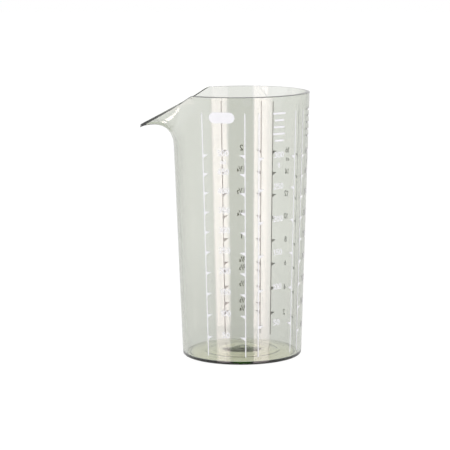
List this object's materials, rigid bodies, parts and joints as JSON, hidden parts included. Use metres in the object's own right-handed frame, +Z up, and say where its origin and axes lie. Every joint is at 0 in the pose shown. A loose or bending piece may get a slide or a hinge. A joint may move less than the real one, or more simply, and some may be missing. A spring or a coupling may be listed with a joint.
{
  "type": "measuring jug",
  "caption": "Clear tapered beaker jug with a wide open pouring spout and white printed volume, flour, sugar, ounce and cup scales; stands flat, measures liquids and dry goods.",
  "frame": {"origin": "on the jug's axis, in the plane of the foot ring that it stands on", "axes": "+Z up along the jug's axis, spout towards -X, sugar scale towards +X"},
  "size_m": [0.1029, 0.083, 0.16],
  "materials": {
    "clear_plastic": "clear rigid plastic with a faint grey-green tint, polished inside and out",
    "white_ink": "thin opaque white screen print, satin"
  },
  "bodies": {
    "root": {"jug_body": "clear_plastic", "label_panel": "white_ink", "volume_lines": "white_ink", "volume_figures": "white_ink", "flour_lines": "white_ink", "flour_figures": "white_ink", "flour_heading": "white_ink", "sugar_lines": "white_ink", "sugar_figures": "white_ink", "sugar_heading": "white_ink", "ounce_lines": "white_ink", "ounce_figures": "white_ink", "cup_lines": "white_ink", "cup_figures": "white_ink"}
  },
  "joints": []
}
